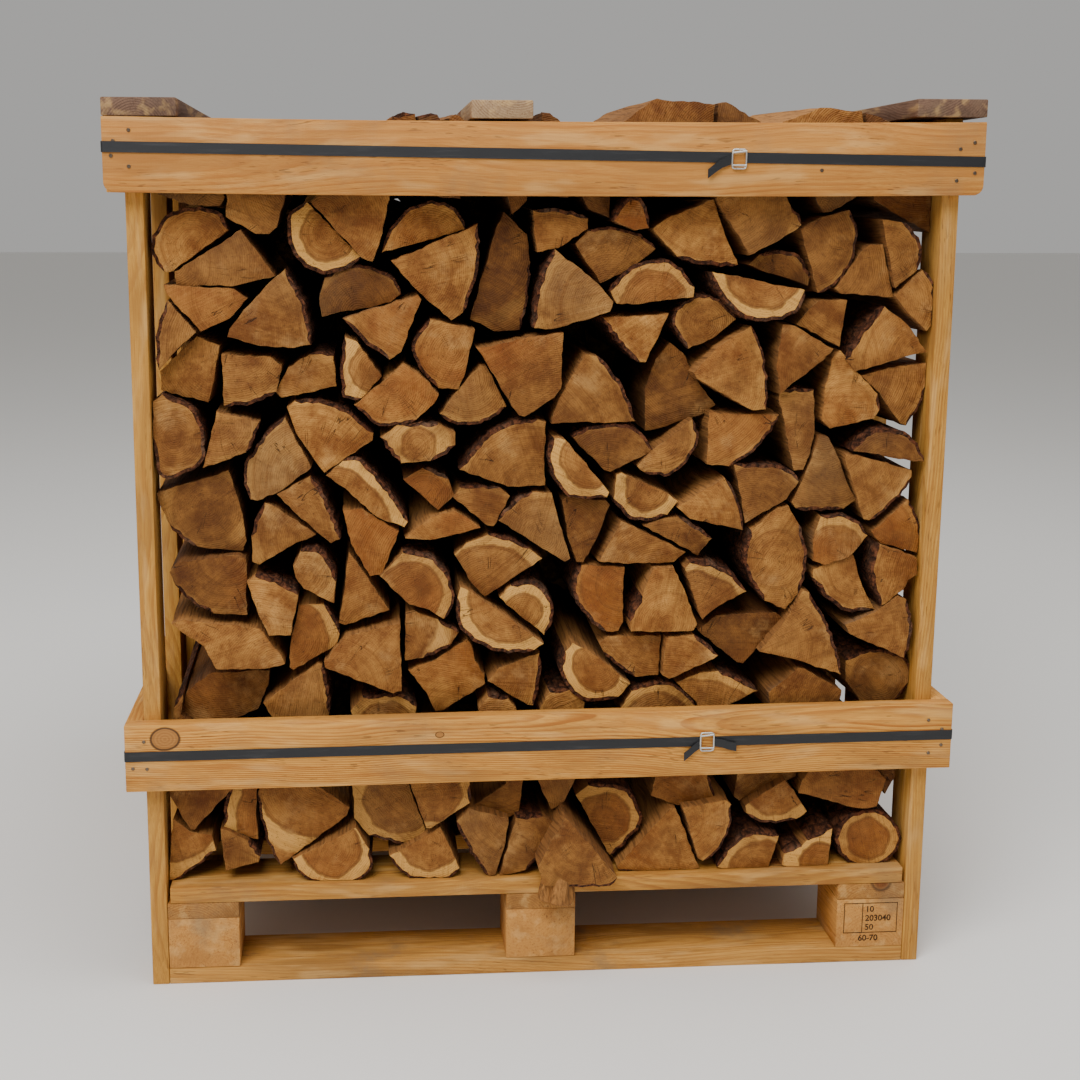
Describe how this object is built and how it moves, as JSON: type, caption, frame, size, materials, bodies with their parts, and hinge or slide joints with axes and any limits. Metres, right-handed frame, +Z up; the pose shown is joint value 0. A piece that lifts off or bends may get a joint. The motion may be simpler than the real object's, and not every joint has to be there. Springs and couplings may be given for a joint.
{
  "type": "firewood crate",
  "caption": "Open crate of split firewood logs stacked end-on on a wooden pallet, held by upright side boards and strapped belts of boards.",
  "frame": {"origin": "on the floor, under the middle of the crate", "axes": "+Z up, -Y towards the front that the log ends face, +X to the right seen from the front"},
  "size_m": [1.096, 1.0722, 1.165],
  "materials": {
    "pallet_pine": "sawn softwood, dry, slightly grey",
    "side_pine": "sawn softwood, raw",
    "belt_pine": "sawn softwood, golden, strong grain",
    "weathered_pine": "sawn softwood, weathered grey brown",
    "firewood": "split hardwood with bark, kiln dried",
    "strap_plastic": "embossed strapping, satin",
    "buckle_wire": "galvanised wire"
  },
  "bodies": {
    "root": {"belt_lower_back": "belt_pine", "belt_lower_front": "belt_pine", "belt_lower_left": "belt_pine", "belt_lower_right": "belt_pine", "belt_upper_back": "belt_pine", "belt_upper_front": "belt_pine", "belt_upper_left": "belt_pine", "belt_upper_right": "belt_pine", "block_front_left": "pallet_pine", "block_front_middle": "pallet_pine", "block_front_right": "pallet_pine", "block_middle_left": "pallet_pine", "block_middle_middle": "pallet_pine", "block_middle_right": "pallet_pine", "block_rear_left": "pallet_pine", "block_rear_middle": "pallet_pine", "block_rear_right": "pallet_pine", "buckle_lower": "buckle_wire", "buckle_upper": "buckle_wire", "deck_board_1": "pallet_pine", "deck_board_2": "pallet_pine", "deck_board_3": "pallet_pine", "deck_board_4": "pallet_pine", "deck_board_5": "pallet_pine", "deck_board_6": "pallet_pine", "deck_board_7": "pallet_pine", "firewood_row_front": "firewood", "firewood_row_middle": "firewood", "firewood_row_rear": "firewood", "log_overhanging": "firewood", "side_board_left_1": "side_pine", "side_board_left_2": "side_pine", "side_board_left_3": "side_pine", "side_board_left_4": "side_pine", "side_board_left_5": "side_pine", "side_board_right_1": "side_pine", "side_board_right_2": "side_pine", "side_board_right_3": "side_pine", "side_board_right_4": "side_pine", "side_board_right_5": "side_pine", "skid_front": "pallet_pine", "skid_middle": "pallet_pine", "skid_rear": "pallet_pine", "stacking_board_left": "weathered_pine", "stacking_board_middle": "weathered_pine", "stacking_board_right": "weathered_pine", "strap_lower": "strap_plastic", "strap_upper": "strap_plastic", "stringer_left": "pallet_pine", "stringer_middle": "pallet_pine", "stringer_right": "pallet_pine"}
  },
  "joints": []
}
